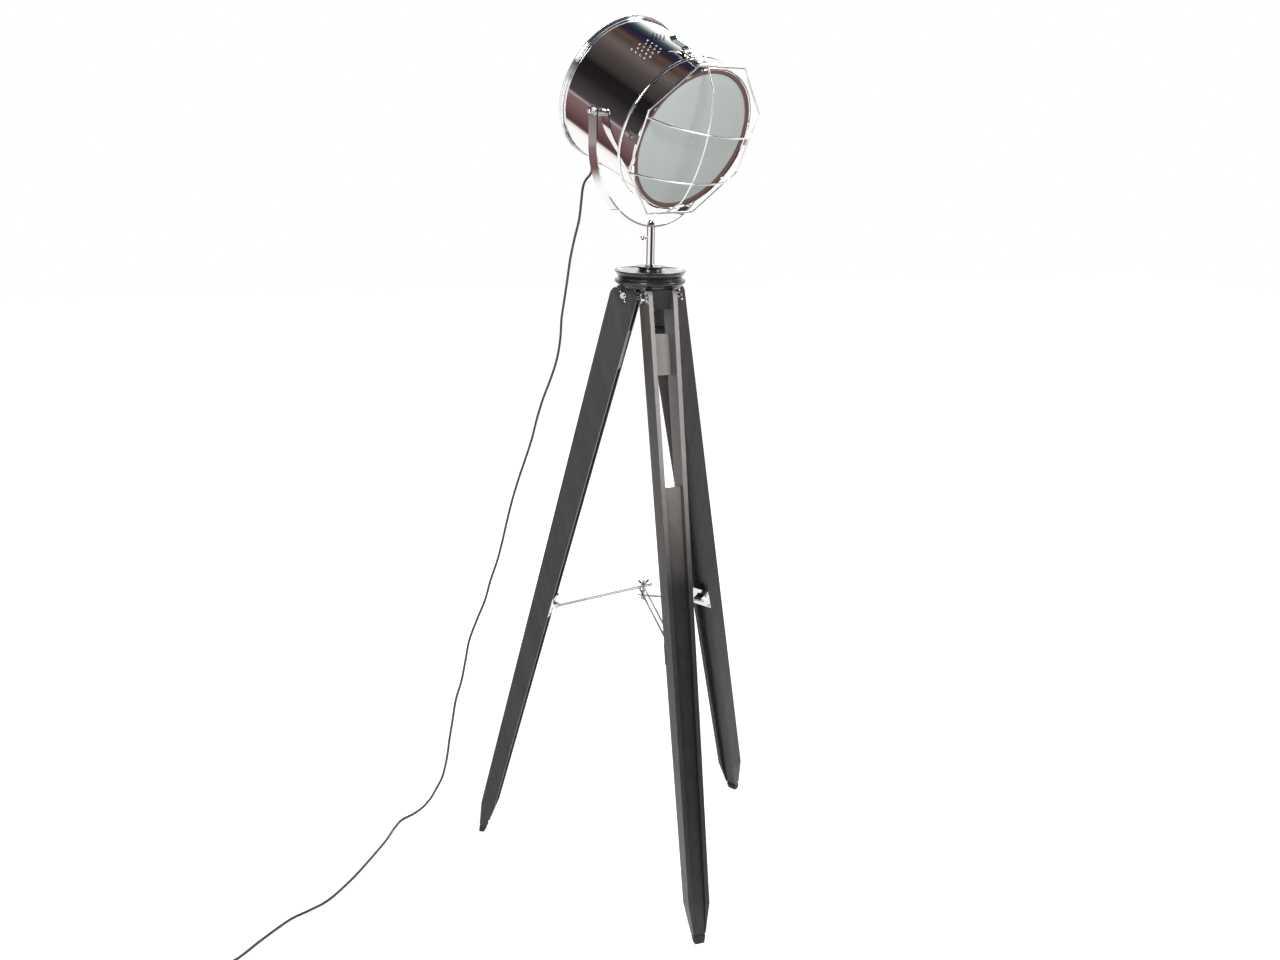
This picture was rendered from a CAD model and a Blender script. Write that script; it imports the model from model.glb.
# %% [markdown]
# A floor lamp built like a film light: a chromed drum in a yoke, on a folding tripod of
# black-stained wood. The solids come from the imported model, and every piece here stays fitted to
# them. This lesson adds what solids can't give: the studio that makes chrome look like chrome,
# the supple lead, the grain of the wood and the finish of each metal.

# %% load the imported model
import math

import bmesh
import bpy
from mathutils import Matrix, Vector


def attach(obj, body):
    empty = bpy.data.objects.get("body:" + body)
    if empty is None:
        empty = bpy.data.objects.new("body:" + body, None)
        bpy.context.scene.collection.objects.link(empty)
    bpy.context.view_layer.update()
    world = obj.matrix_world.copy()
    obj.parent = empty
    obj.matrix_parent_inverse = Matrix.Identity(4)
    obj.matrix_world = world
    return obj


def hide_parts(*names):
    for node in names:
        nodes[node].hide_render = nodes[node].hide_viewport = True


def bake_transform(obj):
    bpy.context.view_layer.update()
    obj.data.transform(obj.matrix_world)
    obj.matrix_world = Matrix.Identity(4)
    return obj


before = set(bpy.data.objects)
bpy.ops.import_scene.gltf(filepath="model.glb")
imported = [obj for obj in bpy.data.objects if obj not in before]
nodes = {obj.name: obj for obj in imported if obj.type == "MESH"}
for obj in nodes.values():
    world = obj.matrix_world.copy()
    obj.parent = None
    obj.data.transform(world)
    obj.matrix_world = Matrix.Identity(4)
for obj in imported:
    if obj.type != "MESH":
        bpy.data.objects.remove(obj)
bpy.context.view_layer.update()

# %% [markdown]
# Everything on the lamp is placed from a few of its own sizes. They repeat the driving sizes of
# the solid model, in metres: the tripod's axis, the tilt axis, and where the drum points. Three
# arrows then give the drum a frame of its own, which is easier to think in than the room's: along
# its barrel, along its tilt bolts, and straight out of its top.

# %% where the drum sits and looks
AXIS = Vector((0, 0.0763, 0))
TILT = AXIS + Vector((0, 0, 1.430))
POINTS_TO = math.radians(-66)
POINTS_DOWN = math.radians(25)

forward = Vector((math.cos(POINTS_DOWN) * math.cos(POINTS_TO),
                  math.cos(POINTS_DOWN) * math.sin(POINTS_TO), -math.sin(POINTS_DOWN)))
across = Vector((-math.sin(POINTS_TO), math.cos(POINTS_TO), 0))
upward = forward.cross(across)
print("the drum looks along", [round(v, 3) for v in forward])

# %% [markdown]
# The camera stands about 2.3 m away, level with the drum, and looks down by 16 degrees. It could
# be moved by eye until the picture fits. Here its place comes from the photograph instead: the
# three equal legs and the level rims of the cap fix it. The slight roll is real too, and leans
# the verticals by a degree.

# %% helper: put a thing in the scene


def put_in_scene(name, data):
    made = bpy.data.objects.new(name, data)
    bpy.context.scene.collection.objects.link(made)
    return made


# %% camera
PHOTO_WIDTH = 1280
FOCAL_PIXELS = 1269
SENSOR = 36
STAND_BACK = (-0.0106, -2.2765, 1.407)
TURN = math.radians(-20)
LOOK_DOWN = 15.58
ROLL = 1.16

camera = bpy.data.cameras.new("studio_camera")
camera.sensor_width = SENSOR
camera.lens = SENSOR * FOCAL_PIXELS / PHOTO_WIDTH
camera.clip_end = 50
eye = put_in_scene("studio_camera", camera)
stand_back = Vector(STAND_BACK)
stand_back.rotate(Matrix.Rotation(TURN, 3, "Z"))
eye.matrix_world = (Matrix.Translation(AXIS + stand_back)
                    @ Matrix.Rotation(TURN, 4, "Z")
                    @ Matrix.Rotation(math.radians(90 - LOOK_DOWN), 4, "X")
                    @ Matrix.Rotation(math.radians(ROLL), 4, "Z"))
bpy.context.scene.camera = eye
print("camera at", [round(v, 3) for v in eye.matrix_world.translation])

# %% [markdown]
# The lead leaves the drum through a gland, hangs down beside the left leg and runs over the floor
# and out of the picture. A cord is a fixed length of something soft, so it is one smooth curve
# through hand-chosen points. Blender can draw a curve with its own spline types, but this one
# must lie exactly where the solid cord lies, so the same cubic that the solids use is repeated
# here, and the curve gets many short steps.

# %% helper: a smooth line through points


def cubic(points, t):
    last = len(points) - 1
    i = min(int(t), last - 1)
    u = t - i
    a, b, c, d = (points[max(i - 1, 0)], points[i], points[i + 1], points[min(i + 2, last)])
    return 0.5 * (2 * b + (c - a) * u + (2 * a - 5 * b + 4 * c - d) * u * u
                  + (3 * b - a - 3 * c + d) * u * u * u)


def smooth_line(points, steps):
    last = len(points) - 1
    return [cubic(points, k * last / steps) for k in range(steps + 1)]


def line_length(line):
    return sum((b - a).length for a, b in zip(line, line[1:]))


def in_metres(route):
    return [AXIS + Vector(p) / 1000 for p in route]


# %% route of the lead, in millimetres from the tripod's foot point
LEAD_ROUTE = [(-73.6, 116.2, 1327.5), (-75, 119.4, 1322), (-77.1, 124.1, 1317)]
DROP_ROUTE = [
    (-77.2, 124.3, 1316.8), (-80, 130.5, 1311.4), (-82.8, 135.6, 1302.5), (-84.6, 138, 1291),
    (-86, 138.6, 1276), (-90, 139, 1240), (-98, 142, 1204), (-105, 145, 1167),
    (-110, 146, 1130), (-115, 148, 1093), (-120, 150, 1056), (-122, 151, 1018),
    (-128, 153, 979), (-139, 157, 941), (-153, 162, 901), (-164, 166, 862), (-173, 170, 822),
    (-185, 174, 782), (-198, 178, 741), (-209, 183, 700), (-219, 186, 658), (-228, 189, 616),
    (-238, 193, 574), (-251, 198, 532), (-262, 202, 489), (-278, 208, 446), (-293, 213, 402),
    (-301, 216, 358), (-309, 219, 314), (-321, 223, 270), (-328, 226, 225), (-335, 229, 179),
    (-341, 231, 136), (-350, 235, 95), (-360, 241, 70)]
FLOOR_ROUTE = [
    (-360.2, 241.1, 69.7), (-373, 248, 42), (-390, 253, 20), (-411, 254, 7), (-436, 245, 3),
    (-456, 217, 3), (-478, 178, 3), (-521, 115, 3), (-564, 57, 3), (-612, 4, 3), (-650, -19, 3),
    (-686, -37, 3), (-738, -82, 3), (-785, -126, 3)]

# %% [markdown]
# What the picture doesn't show of the lead is put away as a small coil beside it, with the plug
# at its end. A spiral could be laid flat, but a real coil of this size is wound in two layers:
# the turns go inwards on the floor, climb by a little over one thickness, and go outwards on top.

# %% the coil, in millimetres
COIL_MIDDLE = (-822, -176)
COIL_START = math.radians(111)
COIL_TURNS = 4
COIL_PITCH = 5.4
COIL_RADIUS = 32
CLIMB_IN = 0.25
FLOOR_LIFT = 3
TAIL = 36


def coil_point(t):
    """A point of the coil after t turns: it spirals in, climbs, and spirals out on top."""
    half = COIL_TURNS / 2
    r = COIL_RADIUS - COIL_PITCH * (half - abs(t - half))
    rise = COIL_PITCH * min(1, max(0, (t - half + CLIMB_IN) / (2 * CLIMB_IN)))
    a = COIL_START + 2 * math.pi * t
    return (COIL_MIDDLE[0] + r * math.cos(a), COIL_MIDDLE[1] + r * math.sin(a),
            FLOOR_LIFT + rise)


tail_way = Vector((-math.sin(COIL_START), math.cos(COIL_START), 0)) * TAIL
coil_out = Vector(coil_point(COIL_TURNS))

# %% the lead's centre line
LEAD_STEPS = 12
DROP_STEPS = 150
FLOOR_STEPS = 90
COIL_STEPS = 32

hanging = (smooth_line(in_metres(LEAD_ROUTE), LEAD_STEPS)
           + smooth_line(in_metres(DROP_ROUTE), DROP_STEPS))
lying = (smooth_line(in_metres(FLOOR_ROUTE + [coil_point(0)]), FLOOR_STEPS)
         + in_metres([coil_point(k / COIL_STEPS) for k in range(1, COIL_TURNS * COIL_STEPS + 1)])
         + in_metres([coil_out + tail_way / 2, coil_out + tail_way]))
print("lead hangs for", round(line_length(hanging), 3), "m and lies for",
      round(line_length(lying), 3), "m")

# %% [markdown]
# A bevelled curve would do for a cord that never moves. This one bends where the drum tilts and
# twists where the yoke turns, so it is a mesh tube: a ring of points round every step of the
# line. Each ring is turned from the one before it by the smallest turn, so that the tube's own
# skin never twists.

# %% helper: a round cord along a line
CORD_THICK = 0.0046
CORD_SIDES = 12


def cord_along(name, line, thick):
    shape = bmesh.new()
    heading = (line[1] - line[0]).normalized()
    side = heading.orthogonal().normalized()
    corners = [2 * math.pi * j / CORD_SIDES for j in range(CORD_SIDES)]
    rings = []
    for k, place in enumerate(line):
        ahead = (line[min(k + 1, len(line) - 1)] - line[max(k - 1, 0)]).normalized()
        side.rotate(heading.rotation_difference(ahead))
        heading = ahead
        over = heading.cross(side)
        rings.append([shape.verts.new(place + thick / 2 * (side * math.cos(a)
                                                           + over * math.sin(a)))
                      for a in corners])
    for ring, after in zip(rings, rings[1:]):
        for j in range(CORD_SIDES):
            k = (j + 1) % CORD_SIDES
            shape.faces.new((ring[j], ring[k], after[k], after[j]))
    shape.faces.new(rings[0][::-1])
    shape.faces.new(rings[-1])
    for face in shape.faces:
        face.smooth = len(face.verts) == 4
    data = bpy.data.meshes.new(name)
    shape.to_mesh(data)
    shape.free()
    return put_in_scene(name, data)


# %% [markdown]
# The lead crosses two joints on its way down. One tube could bend across only one of them, so it
# is made in stretches that meet end to end. The upper one bends between the drum and the yoke as
# the drum tilts. The lower one twists slowly round the stand as the yoke turns, almost down to
# the floor, because a short twist would stretch it. The one on the floor lies still.

# %% the lead, in its three stretches
TILT_END = 36      # above here the lead bends as the drum tilts

upper_lead = cord_along("upper_lead", hanging[:TILT_END + 1], CORD_THICK)
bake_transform(upper_lead)
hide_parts("cord_lead")
lower_lead = cord_along("lower_lead", hanging[TILT_END:], CORD_THICK)
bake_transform(lower_lead)
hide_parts("cord_drop")
floor_lead = cord_along("floor_lead", lying, CORD_THICK)
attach(floor_lead, "cap")
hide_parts("cord_floor", "cord_coil")
print("the lead's tubes have", [len(piece.data.polygons) for piece in
                                (upper_lead, lower_lead, floor_lead)], "faces")

# %% [markdown]
# Light and finishes are both made of nodes: small machines wired together, each with inputs and
# outputs. They can be placed by hand in Blender's editor. In a script it is shorter to feed each
# node as it is made, with a plain number where the input is fixed and a wire where it varies.

# %% helpers: nodes that are fed as they are made


def feed(tree, socket, value):
    """Wire the socket to an output, or set it. A plain colour gets its fourth number."""
    if isinstance(value, bpy.types.NodeSocket):
        tree.links.new(value, socket)
    elif socket.type == "RGBA":
        socket.default_value = (*value, 1)
    else:
        socket.default_value = value


def new_node(tree, kind, x, y, **values):
    """A node of that kind. Each value sets a property, or feeds the input of that name."""
    made = tree.nodes.new(kind)
    made.location = (x, y)
    for key, value in values.items():
        if hasattr(made, key):
            setattr(made, key, value)
        else:
            feed(tree, made.inputs[key.replace("_", " ")], value)
    return made


def fed_in_order(tree, kind, x, y, *values, **settings):
    """The first output of a node whose inputs go by their order."""
    made = new_node(tree, kind, x, y, **settings)
    for socket, value in zip(made.inputs, values):
        feed(tree, socket, value)
    return made.outputs[0]


# %% helpers: the few sums that the shaders need


def maths(tree, operation, x, y, *values):
    return fed_in_order(tree, "ShaderNodeMath", x, y, *values, operation=operation)


def part_along(tree, arrow, direction, x, y):
    """How far an arrow goes along a direction: 1 with it, 0 across it, -1 against it."""
    made = new_node(tree, "ShaderNodeVectorMath", x, y, operation="DOT_PRODUCT")
    feed(tree, made.inputs[0], arrow)
    feed(tree, made.inputs[1], direction)
    return made.outputs["Value"]


def ranged(tree, value, come, go, x, y, ease="LINEAR"):
    """A value between the two of come, moved to between the two of go."""
    return new_node(tree, "ShaderNodeMapRange", x, y, interpolation_type=ease, Value=value,
                    From_Min=come[0], From_Max=come[1], To_Min=go[0],
                    To_Max=go[1]).outputs["Result"]


def soft_step(tree, value, low, high, x, y):
    """0 where the value is under low, 1 over high, and soft between."""
    return ranged(tree, value, (low, high), (0, 1), x, y, "SMOOTHSTEP")


def mixed(tree, under, over, part, x, y, kind="RGBA"):
    return new_node(tree, "ShaderNodeMix", x, y, data_type=kind, Factor=part, A=under,
                    B=over).outputs["Result"]


def ramp(tree, value, stops, x, y):
    """A colour for every value, from stops of a place and a colour."""
    made = tree.nodes.new("ShaderNodeValToRGB")
    made.location = (x, y)
    made.color_ramp.interpolation = "LINEAR"
    while len(made.color_ramp.elements) < len(stops):
        made.color_ramp.elements.new(0.5)
    for element, (place, colour) in zip(made.color_ramp.elements, stops):
        element.position = place
        element.color = (*colour, 1)
    feed(tree, made.inputs[0], value)
    return made.outputs[0]


# %% [markdown]
# Chrome has no colour of its own. What the eye reads as chrome is the studio: the white sweep
# that the lamp stands on, and the dark room behind the camera. On a round drum those show as
# straight bands along the barrel. A photographed environment could be wrapped round the lamp, but
# it would be a picture file, so the room is painted by direction instead, as bands round the
# drum's own axis. A slow noise makes the bands wander a little, as nothing in a real room is
# quite parallel to the drum.

# %% studio world: the bands along the barrel
WHITE = (1.02, 1.01, 1.0)
DARK_WAY = math.radians(145)
WANDER = 0.05

world = bpy.data.worlds.new("studio")
bpy.context.scene.world = world
world.use_nodes = True
sky = world.node_tree
sky.nodes.clear()
way = new_node(sky, "ShaderNodeTexCoord", -1700, 0).outputs["Generated"]
# the bands' own two directions: the middle of the dark room, and a quarter turn on
mid_dark = across * math.cos(DARK_WAY) + upward * math.sin(DARK_WAY)
quarter_on = upward * math.cos(DARK_WAY) - across * math.sin(DARK_WAY)
angle = maths(sky, "ARCTAN2", -1200, -150, part_along(sky, way, quarter_on, -1400, -100),
              part_along(sky, way, mid_dark, -1400, -250))
uneven = new_node(sky, "ShaderNodeTexNoise", -1400, -500, Vector=way, Scale=2.6, Detail=2.0)
wander = maths(sky, "MULTIPLY_ADD", -1200, -450, uneven.outputs["Fac"], WANDER, 0.5 - WANDER / 2)
turns = maths(sky, "MULTIPLY_ADD", -1000, -200, angle, 1 / (2 * math.pi), wander)
bands = ramp(sky, turns, [
    (0.00, WHITE), (0.185, WHITE), (0.208, (0.40, 0.44, 0.42)), (0.232, (0.06, 0.09, 0.11)),
    (0.262, (0.017, 0.018, 0.05)), (0.290, (0.03, 0.022, 0.032)), (0.318, (0.10, 0.065, 0.05)),
    (0.345, (0.08, 0.052, 0.042)), (0.380, (0.14, 0.115, 0.10)), (0.430, (0.075, 0.064, 0.06)),
    (0.490, (0.042, 0.035, 0.032)), (0.512, (0.012, 0.010, 0.011)),
    (0.570, (0.016, 0.014, 0.015)), (0.630, (0.05, 0.044, 0.046)), (0.655, (0.09, 0.07, 0.07)),
    (0.664, (0.42, 0.36, 0.36)), (0.678, (0.22, 0.15, 0.15)), (0.720, (0.19, 0.105, 0.10)),
    (0.785, (0.085, 0.045, 0.043)), (0.804, (0.13, 0.075, 0.07)), (0.815, (0.80, 0.74, 0.72)),
    (0.835, WHITE), (1.00, WHITE)], -800, -200)

# %% [markdown]
# Only the barrel and the outer face of the yoke look at the bands. Everything else sees the rest
# of the studio, which is painted by height: a white floor, and a dark room above the horizon.
# Over that go a white back wall, a dark patch where the camera stands, a faint one to its right,
# and a brown one low down, which is what the flat lip of the door and the glass look at.

# %% studio world: the rest of the room


def toward(azimuth, up=0.0, level=1.0):
    """The direction at that many degrees round, with its level and its upward part."""
    turned = math.radians(azimuth)
    return (math.cos(turned) * level, math.sin(turned) * level, up)


up_part = new_node(sky, "ShaderNodeSeparateXYZ", -1400, -1000, Vector=way).outputs["Z"]
by_height = maths(sky, "MULTIPLY_ADD", -1000, -1000, up_part, 0.5, 0.5)
around = ramp(sky, by_height, [
    (0.0, WHITE), (0.495, WHITE), (0.54, (0.25, 0.22, 0.22)), (0.65, (0.07, 0.06, 0.06)),
    (0.8, (0.035, 0.055, 0.07)), (1.0, (0.04, 0.07, 0.09))], -800, -900)
towards_wall = part_along(sky, way, toward(57), -1400, -1200)
under_its_top = maths(sky, "SUBTRACT", -800, -1400, 1.0,
                      soft_step(sky, up_part, 0.38, 0.55, -1000, -1400))
back_wall = maths(sky, "MULTIPLY", -600, -1200,
                  soft_step(sky, towards_wall, 0.15, 0.35, -1000, -1200), under_its_top)
around = mixed(sky, around, WHITE, back_wall, -500, -900)
PATCHES = [  # direction, where each patch begins and is full, colour
    (toward(-92, up=-0.05), 0.84, 0.88, (0.05, 0.045, 0.05)),
    (toward(-15, up=-0.05), 0.94, 0.97, (0.30, 0.25, 0.25)),
    (toward(-10, up=-0.551, level=0.834), 0.955, 0.975, (0.12, 0.055, 0.045))]
for k, (direction, begins, full, colour) in enumerate(PATCHES):
    row = -1600 - 200 * k
    patch = soft_step(sky, part_along(sky, way, direction, -1400, row), begins, full, -1000, row)
    around = mixed(sky, around, colour, patch, -400 + 50 * k, row)

ahead_part = part_along(sky, way, forward, -1400, -800)
not_ahead = maths(sky, "SUBTRACT", -800, -600, 1.0,
                  soft_step(sky, ahead_part, -0.52, -0.42, -1000, -600))
in_bands = maths(sky, "MULTIPLY", -600, -650, not_ahead,
                 soft_step(sky, ahead_part, -0.95, -0.85, -1000, -750))
room = mixed(sky, around, bands, in_bands, -400, -300)
print("the room has", len(PATCHES), "patches and", len(sky.nodes), "nodes so far")

# %% [markdown]
# Only shiny and clear surfaces may look at that room. Matt ones get one even soft light, and the
# camera sees plain white behind the lamp. A world could light and show the same picture to all,
# but then the dark room would darken the wood and fill the background. The light path node tells
# which kind of ray is asking, so each gets its own answer.

# %% studio world: who sees what
EVEN_LIGHT = 0.36
PLAIN = (1, 1, 1)

shiny = new_node(sky, "ShaderNodeBackground", -250, -200, Color=room, Strength=1.0).outputs[0]
even = new_node(sky, "ShaderNodeBackground", -250, 0, Color=PLAIN, Strength=EVEN_LIGHT).outputs[0]
white = new_node(sky, "ShaderNodeBackground", -250, 200, Color=PLAIN, Strength=1.0).outputs[0]
asking = new_node(sky, "ShaderNodeLightPath", -700, 400).outputs
gloss_or_clear = maths(sky, "MAXIMUM", -500, 300, asking["Is Glossy Ray"],
                       asking["Is Transmission Ray"])
lights = fed_in_order(sky, "ShaderNodeMixShader", 0, 0, gloss_or_clear, even, shiny)
seen = fed_in_order(sky, "ShaderNodeMixShader", 250, 0, asking["Is Camera Ray"], lights, white)
new_node(sky, "ShaderNodeOutputWorld", 500, 0, Surface=seen)
bpy.context.scene.view_settings.view_transform = "Standard"
print("the studio has", len(sky.nodes), "world nodes")

# %% [markdown]
# Five soft boxes light the lamp: a large one over the camera's left, two small ones in front that
# lift the front leg, a weak one on the right and one behind. They are area lamps, so their
# shadows are soft, and they aren't strong: the colours come out about as they are written. The
# two in front would show as white smudges in the chrome, so shiny surfaces don't see them.

# %% soft boxes


def soft_box(name, place, target, size, power, in_chrome=True):
    data = bpy.data.lights.new(name, "AREA")
    data.shape = "RECTANGLE"
    data.size, data.size_y = size
    data.energy = power
    box = put_in_scene(name, data)
    box.location = place
    box.rotation_euler = (Vector(target) - Vector(place)).to_track_quat("-Z", "Y").to_euler()
    box.visible_glossy = in_chrome
    box.visible_camera = False
    return box


boxes = [
    soft_box("left_soft_box", (-2.2, -2.4, 2.9), (0, 0, 0.9), (1.2, 1.6), 60),
    soft_box("front_soft_box", (-0.35, -1.5, 2.0), (0, 0, 1.0), (0.8, 0.5), 14, False),
    soft_box("near_soft_box", (0.1, -0.8, 1.5), (0, 0.02, 1.0), (0.3, 0.3), 10, False),
    soft_box("right_soft_box", (2.6, -1.4, 2.2), (0, 0, 1.0), (0.8, 1.6), 22),
    soft_box("back_soft_box", (0.8, 2.4, 2.6), (0, 0, 1.2), (1.6, 1.0), 30)]
print(len(boxes), "soft boxes,", sum(box.data.energy for box in boxes), "W in all")

# %% [markdown]
# The floor is the white sweep. It has to be white to the camera, and still keep the lamp's soft
# contact shadows, so it is a pale matt surface that also glows where the camera sees it, a little
# less close to the lamp. In the chrome only the paper round the lamp shows: further out the
# reflections look through the floor at the room.

# %% floor
REACH = 9
GLOW_OVER = (0.7, 1.6)
GLOW = (0.40, 0.75)
PAPER_ENDS = (1.2, 1.5)

sweep_mesh = bpy.data.meshes.new("floor")
sweep_mesh.from_pydata([(-REACH, -REACH, 0), (REACH, -REACH, 0), (REACH, REACH, 0),
                        (-REACH, REACH, 0)], [], [(0, 1, 2, 3)])
floor = put_in_scene("floor", sweep_mesh)

# %% the floor's white paper
sweep = bpy.data.materials.new("white_sweep")
sweep.use_nodes = True
paper = sweep.node_tree
paper.nodes.clear()
paper_asked = new_node(paper, "ShaderNodeLightPath", -600, 300).outputs
paper_place = new_node(paper, "ShaderNodeTexCoord", -800, 600).outputs["Object"]
from_lamp = new_node(paper, "ShaderNodeVectorMath", -600, 600, operation="LENGTH")
feed(paper, from_lamp.inputs[0], paper_place)
distance = from_lamp.outputs["Value"]
glow_part = maths(paper, "MULTIPLY", -200, -150, paper_asked["Is Camera Ray"],
                  ranged(paper, distance, GLOW_OVER, GLOW, -400, 300))
matt = new_node(paper, "ShaderNodeBsdfDiffuse", 0, 0, Color=(0.90, 0.90, 0.90)).outputs[0]
glow = new_node(paper, "ShaderNodeEmission", 0, -150, Color=PLAIN, Strength=glow_part).outputs[0]
lit = fed_in_order(paper, "ShaderNodeAddShader", 200, 0, matt, glow)
clear = new_node(paper, "ShaderNodeBsdfTransparent", 200, -200).outputs[0]
open_part = maths(paper, "MULTIPLY", -200, 500,
                  ranged(paper, distance, PAPER_ENDS, (0, 1), -400, 600),
                  paper_asked["Is Glossy Ray"])
surface = fed_in_order(paper, "ShaderNodeMixShader", 400, 0, open_part, lit, clear)
new_node(paper, "ShaderNodeOutputMaterial", 600, 0, Surface=surface)
floor.data.materials.append(sweep)
print("the floor reaches", REACH, "m each way")

# %% [markdown]
# Each finish is a small recipe: one Principled shader, and noise for what varies over the
# surface. This helper makes the shader and sets the plain numbers on its own sockets, which is
# also where an exported model finds them. Noise is used everywhere instead of pictures, because
# it has no seams and needs no unwrapping.

# %% helpers: a finish, its tint and its relief
NOISE_MIDDLE = (0.3, 0.7)


def finish(name, rough=0.5, metal=0.0, **sockets):
    """A new material, its node tree, its shader, and the output that gives each spot's place."""
    made = bpy.data.materials.new(name)
    made.use_nodes = True
    tree = made.node_tree
    shader = tree.nodes["Principled BSDF"]
    shader.inputs["Roughness"].default_value = rough
    shader.inputs["Metallic"].default_value = metal
    for key, value in sockets.items():
        shader.inputs[key.replace("_", " ")].default_value = value
    return made, tree, shader, new_node(tree, "ShaderNodeTexCoord", -1600, 0).outputs["Object"]


def noise(tree, where, scale, detail=4.0, rough=0.55, x=-1100, y=0):
    return new_node(tree, "ShaderNodeTexNoise", x, y, Vector=where, Scale=scale, Detail=detail,
                    Roughness=rough).outputs["Fac"]


def spread(tree, value, low, high, x=-700, y=0):
    """Noise keeps to its middle, so that part of it is spread over low to high."""
    return ranged(tree, value, NOISE_MIDDLE, (low, high), x, y)


def tint(tree, shader, value, colours, x=-500, y=200):
    stops = [(k / (len(colours) - 1), c) for k, c in enumerate(colours)]
    feed(tree, shader.inputs["Base Color"], ramp(tree, value, stops, x, y))


def relief(tree, shader, value, depth, strength=0.5, x=-300, y=-300):
    bump = new_node(tree, "ShaderNodeBump", x, y, Strength=strength, Distance=depth, Height=value)
    feed(tree, shader.inputs["Normal"], bump.outputs[0])


# %% [markdown]
# Chrome plate on rolled sheet is bright, but never a perfect mirror: it has long shallow waves
# from rolling and a faint veil of fingerprints. A slow noise moves the roughness a little, and an
# even slower one bends the surface by a fraction of a millimetre. The same recipe, duller and
# finer, gives the zinc of the screws, the steel of the stay bars and the reflector.

# %% chrome plate and its duller cousins


def chrome(name, colour, rough, wave_scale, wave_depth):
    made, tree, shader, where = finish(name, rough, 1.0)
    veil = noise(tree, where, 14, 6)
    feed(tree, shader.inputs["Roughness"], spread(tree, veil, rough, rough + 0.06))
    tint(tree, shader, veil, [colour, tuple(min(1, c * 1.06) for c in colour)])
    wave = noise(tree, where, wave_scale, 1, 0.3, y=-400)
    relief(tree, shader, wave, wave_depth, 0.3)
    return made


sheet_chrome = chrome("sheet_chrome", (0.92, 0.91, 0.92), 0.025, 6, 0.0006)
wire_chrome = chrome("wire_chrome", (0.90, 0.89, 0.89), 0.05, 60, 0.00005)
zinc = chrome("zinc_fixings", (0.62, 0.61, 0.60), 0.22, 90, 0.0001)
bar_steel = chrome("bar_steel", (0.36, 0.345, 0.34), 0.28, 90, 0.0001)
bright_bowl = chrome("reflector_bowl", (0.86, 0.87, 0.88), 0.14, 30, 0.0002)
print("metals:", [metal.name for metal in (sheet_chrome, wire_chrome, zinc, bar_steel,
                                           bright_bowl)])

# %% [markdown]
# The legs are hardwood stained nearly black, so grain shows only as a faint change of tone and
# as fine pores. Grain runs along each leg, and each leg leans its own way. The wood could be
# unwrapped leg by leg, but it is simpler to turn the pattern into the leg's own direction and
# then squeeze it, which draws it out into long fibres. The narrow faces that look outwards have
# their stain rubbed thin, most of all high up, where hands fold the legs.

# %% stained wood
LEG_LEAN = math.radians(14.25)
ALONG_GRAIN = 0.035
PORE_PART = 0.45


def wood_grain(tree, where, azimuth):
    """The long figure and the fine pores of a leg that leans towards that azimuth."""
    lean = new_node(tree, "ShaderNodeVectorRotate", -1400, 0, rotation_type="Z_AXIS",
                    Angle=-math.radians(azimuth), Vector=where)
    upright = new_node(tree, "ShaderNodeVectorRotate", -1250, 0, rotation_type="Y_AXIS",
                       Angle=-LEG_LEAN, Vector=lean.outputs[0])
    along = new_node(tree, "ShaderNodeMapping", -1100, 0, Scale=(1.0, 1.0, ALONG_GRAIN),
                     Vector=upright.outputs[0]).outputs[0]
    return noise(tree, along, 75, 5, 0.6, -900, 200), noise(tree, along, 620, 3, 0.6, -900, -200)


def rubbed_part(tree, where, worn_to):
    """1 on the narrow faces that look towards worn_to and are high up, 0 elsewhere."""
    normal = new_node(tree, "ShaderNodeNewGeometry", -1600, 500).outputs["Normal"]
    facing = part_along(tree, normal, toward(worn_to), -1400, 500)
    height = new_node(tree, "ShaderNodeSeparateXYZ", -1400, 700, Vector=where).outputs["Z"]
    return maths(tree, "MULTIPLY", -1000, 600, soft_step(tree, facing, 0.40, 0.75, -1200, 500),
                 ranged(tree, height, (0.62, 0.85), (0, 1), -1200, 700))


def stained_wood(name, azimuth, worn_to, dark, light, rubbed, grain=1.0):
    made, tree, shader, where = finish(name, 0.30)
    figure, pores = wood_grain(tree, where, azimuth)
    both = mixed(tree, figure, pores, PORE_PART, -720, 0, kind="FLOAT")
    stretched = spread(tree, both, 0.0, 1.0, -620, 100)
    stain = ramp(tree, stretched, [(0.0, dark), (1.0, light)], -500, 200)
    pale = ramp(tree, stretched, [(0.0, tuple(0.75 * c for c in rubbed)), (1.0, rubbed)],
                -500, 400)
    feed(tree, shader.inputs["Base Color"],
         mixed(tree, stain, pale, rubbed_part(tree, where, worn_to), -250, 300))
    feed(tree, shader.inputs["Roughness"], spread(tree, pores, 0.38, 0.26, -620, -100))
    relief(tree, shader, both, 0.0004 * grain, 0.5)
    return made


# %% wood for each leg and its centre board
LEG_AZIMUTH = {"front": -90, "right": 30, "left": 150}
WORN_TO = {"front": -125, "right": 30, "left": 150}

leg_wood = {}
board_wood = {}
for side, azimuth in LEG_AZIMUTH.items():
    leg_wood[side] = stained_wood("leg_wood_" + side, azimuth, WORN_TO[side],
                                  (0.014, 0.014, 0.014), (0.034, 0.032, 0.032),
                                  (0.19, 0.176, 0.17))
    board_wood[side] = stained_wood("board_wood_" + side, azimuth, azimuth,
                                    (0.010, 0.010, 0.010), (0.026, 0.024, 0.023),
                                    (0.18, 0.166, 0.158), 1.4)
print("wood for", list(leg_wood))

# %% [markdown]
# The cap and the flange on it are turned and lacquered black. Lacquer is a clear coat over a dark
# ground, so the shader's own coat does it. The turning marks run round the axis: a noise that is
# squeezed upwards by 14 gives them. The hinge lugs are plain dark castings, rough and gritty.

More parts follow.
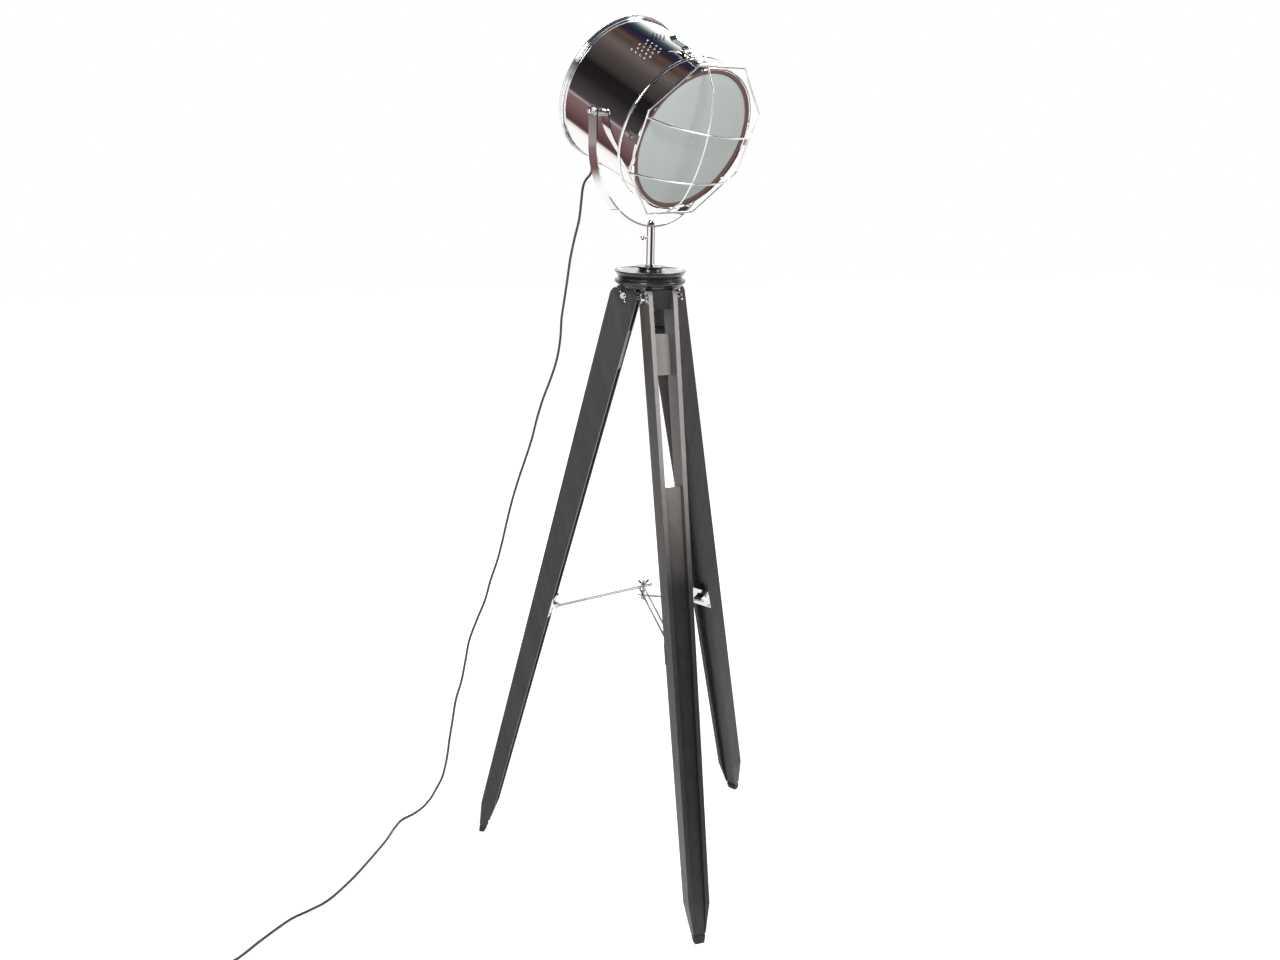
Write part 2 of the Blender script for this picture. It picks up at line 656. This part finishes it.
# %% black lacquer and dark castings
TURNING_MARKS = 14

lacquer, tree, shader, where = finish("black_lacquer", 0.26, Coat_Weight=0.6,
                                      Coat_Roughness=0.12)
turned_on = new_node(tree, "ShaderNodeMapping", -1300, 0, Scale=(1, 1, TURNING_MARKS),
                     Vector=where).outputs[0]
marks = noise(tree, turned_on, 45, 4)
tint(tree, shader, marks, [(0.006, 0.006, 0.006), (0.016, 0.015, 0.015)])
relief(tree, shader, marks, 0.0002, 0.3)

cast_iron, tree, shader, where = finish("dark_cast_lugs", 0.55, 0.3)
grit = noise(tree, where, 420, 5, 0.7)
tint(tree, shader, grit, [(0.012, 0.011, 0.011), (0.035, 0.033, 0.032)])
relief(tree, shader, grit, 0.0004, 0.5)
print("dark metals:", lacquer.name, cast_iron.name)

# %% [markdown]
# The soft and the moulded pieces have no shine to speak of: rubber ends, the lead's skin, and the
# plug and gland. Each is a dark tint that wanders a little and a fine grain in the surface. The
# lead's grain is much finer than its tint, so it has a noise of its own.

# %% rubber, cord and moulded plastic
rubber, tree, shader, where = finish("foot_rubber", 0.7)
grain = noise(tree, where, 500, 3)
tint(tree, shader, grain, [(0.012, 0.013, 0.013), (0.028, 0.030, 0.030)])
relief(tree, shader, grain, 0.0003, 0.4)

cord_skin, tree, shader, where = finish("cord_skin", 0.42)
tint(tree, shader, noise(tree, where, 35, 3), [(0.035, 0.024, 0.022), (0.07, 0.05, 0.045)])
relief(tree, shader, noise(tree, where, 900, 2, y=-400), 0.0002, 0.3)

moulded, tree, shader, where = finish("moulded_black", 0.48)
grain = noise(tree, where, 700, 2)
tint(tree, shader, grain, [(0.010, 0.010, 0.010), (0.024, 0.024, 0.025)])
relief(tree, shader, grain, 0.0002, 0.4)
print("soft and moulded:", rubber.name, cord_skin.name, moulded.name)

# %% [markdown]
# Inside the drum are a glazed lampholder and an opal bulb. They hardly show through the frosted
# glass, so a pale tint is enough, with a little light let into the bulb's skin.

# %% lampholder and bulb
glaze, tree, shader, where = finish("lampholder_glaze", 0.2)
tint(tree, shader, noise(tree, where, 30, 3), [(0.74, 0.70, 0.62), (0.80, 0.77, 0.70)])

opal, tree, shader, where = finish("opal_bulb", 0.3, Subsurface_Weight=0.3)
tint(tree, shader, noise(tree, where, 20, 2), [(0.86, 0.85, 0.80), (0.90, 0.89, 0.86)])
print("inside the drum:", glaze.name, opal.name)

# %% [markdown]
# The glass is frosted on the inside and smooth on the outside. True frosted glass is slow to
# render and comes out grainy, so most of it is a pale grey-green body, a quarter of the light
# goes through, and a smooth coat gives the outer face. The gasket round it is a dark brown rubber.

# %% frosted glass and its gasket
frosted, tree, shader, where = finish("frosted_glass", 0.32, Coat_Weight=1.0,
                                      Coat_Roughness=0.02, Transmission_Weight=0.25, IOR=1.5)
tint(tree, shader, noise(tree, where, 9, 3), [(0.275, 0.305, 0.295), (0.335, 0.362, 0.352)])
relief(tree, shader, noise(tree, where, 380, 2, y=-400), 0.0003, 0.25)

dark_gasket, tree, shader, where = finish("bezel_gasket", 0.5)
tint(tree, shader, noise(tree, where, 200, 3), [(0.040, 0.020, 0.017), (0.08, 0.042, 0.034)])
print("door:", frosted.name, dark_gasket.name)

# %% [markdown]
# Each solid now gets its finish. They could be picked by hand in the viewport, but a table of
# pieces and finishes reads like a parts list, and the names of the legs' pieces differ only in
# their side, so a short loop fills those in.

# %% put the finishes on the solids
FINISH_OF = {
    "tripod_cap": lacquer, "pole_flange": lacquer, "hinge_lugs": cast_iron,
    "leg_bolts": zinc, "pole_tube": wire_chrome, "plug": moulded,
    "hub_bolt": zinc, "hub_nut": wire_chrome, "pan_screw": wire_chrome,
    "yoke": sheet_chrome, "yoke_stem": wire_chrome, "yoke_nut": wire_chrome,
    "tilt_bolts": zinc, "drum_shell": sheet_chrome, "rear_cover": sheet_chrome,
    "reflector": bright_bowl, "lampholder": glaze, "bulb": opal, "cord_gland": moulded,
    "tilt_bushes": zinc, "latch_base": wire_chrome, "door_hinge": wire_chrome,
    "door_ring": sheet_chrome, "glass": frosted, "glass_gasket": dark_gasket,
    "wire_guard": wire_chrome, "door_fittings": zinc, "latch_lever": wire_chrome,
    "latch_loop": wire_chrome}
for side in LEG_AZIMUTH:
    for name in ("slat_a_", "slat_b_"):
        FINISH_OF[name + side] = leg_wood[side]
    for name in ("spacer_", "board_"):
        FINISH_OF[name + side] = board_wood[side]
    FINISH_OF["foot_" + side] = rubber
    FINISH_OF["bracket_" + side] = wire_chrome
    FINISH_OF["bracket_fixings_" + side] = zinc
    FINISH_OF["leg_nut_" + side] = wire_chrome
    FINISH_OF["stay_bar_" + side] = bar_steel
for name, material in FINISH_OF.items():
    mesh = nodes[name].data
    mesh.materials.clear()
    mesh.materials.append(material)
for stretch in (upper_lead, lower_lead, floor_lead):
    stretch.data.materials.append(cord_skin)
print(len(FINISH_OF), "solids have their finish")

# %% [markdown]
# The photograph shows a patch of small pale dots on the drum's near shoulder: vents whose pressed
# rims catch the light, with the pale inside showing through. The solid drum has its holes in line
# with the latch, so these eyelets are thin pieces of their own that sit on the sheet. Bump could
# fake them, but a rim that catches light has to stand up, so each is a small ring with a disc in
# it.

# %% helper: a spot on the drum's wall
VENT_TURN = math.radians(-30)
DRUM_RADIUS = 0.126


def place_on_barrel(ahead, around_by):
    """The spot on the drum's wall and the way straight out of it there."""
    turn_by = VENT_TURN + around_by / DRUM_RADIUS
    out = upward * math.cos(turn_by) + across * math.sin(turn_by)
    return TILT + forward * ahead + out * DRUM_RADIUS, out


# %% vent eyelets
VENT_ROWS = 5
VENT_COLUMNS = 4
VENT_ROW = 0.0086
VENT_PITCH = 0.0112
EYELET = 0.0021
EYELET_WIRE = 0.00035
WIRE_SIDES = 6
RIM_STEPS = 14
INSIDE_LIFT = 0.00015

pressed = bmesh.new()
for row in range(VENT_ROWS):
    for column in range(VENT_COLUMNS):
        # every other row is half a pitch on, and the whole patch is centred
        along = column - (VENT_COLUMNS - 0.5) / 2 + 0.5 * (row % 2)
        spot, out = place_on_barrel(along * VENT_PITCH, (row - VENT_ROWS // 2) * VENT_ROW)
        aside = forward.cross(out)
        arms = [forward * math.cos(2 * math.pi * k / RIM_STEPS)
                + aside * math.sin(2 * math.pi * k / RIM_STEPS) for k in range(RIM_STEPS)]
        rings = [[pressed.verts.new(spot + arm * (EYELET + EYELET_WIRE * math.cos(u))
                                    + out * EYELET_WIRE * (1 + math.sin(u)))
                  for u in (2 * math.pi * j / WIRE_SIDES for j in range(WIRE_SIDES))]
                 for arm in arms]
        for k in range(RIM_STEPS):
            ring, after = rings[k], rings[(k + 1) % RIM_STEPS]
            for j in range(WIRE_SIDES):
                n = (j + 1) % WIRE_SIDES
                pressed.faces.new((ring[j], ring[n], after[n], after[j]))
        disc = pressed.faces.new([pressed.verts.new(spot + arm * EYELET + out * INSIDE_LIFT)
                                  for arm in arms])
        disc.material_index = 1
for face in pressed.faces:
    face.smooth = face.material_index == 0
pressed.normal_update()
eyelet_mesh = bpy.data.meshes.new("vent_eyelets")
pressed.to_mesh(eyelet_mesh)
pressed.free()
eyelets = put_in_scene("vent_eyelets", eyelet_mesh)
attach(eyelets, "drum")
print("vent eyelets:", len(eyelet_mesh.polygons), "faces")

# %% the eyelets' rims and the pale inside
pale_inside, tree, shader, where = finish("pale_inside", 0.5)
tint(tree, shader, noise(tree, where, 60, 3), [(0.30, 0.25, 0.20), (0.48, 0.42, 0.36)])
eyelets.data.materials.append(zinc)
eyelets.data.materials.append(pale_inside)
print("the eyelets have", [material.name for material in eyelets.data.materials])

# %% [markdown]
# A solid's edges are perfectly sharp, and no real edge is. A narrow bevel on the wooden pieces
# catches the light along each edge, as the rubbed edges of the real slats do, and a finer one on
# the yoke gives the soft corners of drawn flat bar. Round metal pieces are shaded smooth, and
# splitting them at their true corners keeps those crisp. All of it is modifiers, so the solids
# themselves stay as they are.

# %% rubbed edges and smooth shading


def bevelled(solid, name, width, segments, sharper_than):
    edge = solid.modifiers.new(name, "BEVEL")
    edge.width = width
    edge.segments = segments
    edge.limit_method = "ANGLE"
    edge.angle_limit = math.radians(sharper_than)


for name, solid in nodes.items():
    if name.startswith(("slat_", "board_", "spacer_")):
        bevelled(solid, "rubbed_edge", 0.0007, 2, 30)
    if name == "yoke":
        bevelled(solid, "drawn_edge", 0.0006, 3, 60)
    for face in solid.data.polygons:
        face.use_smooth = True
    crisp = solid.modifiers.new("crisp_corners", "EDGE_SPLIT")
    crisp.split_angle = math.radians(32)
print(sum(len(solid.modifiers) for solid in nodes.values()), "modifiers on", len(nodes), "nodes")
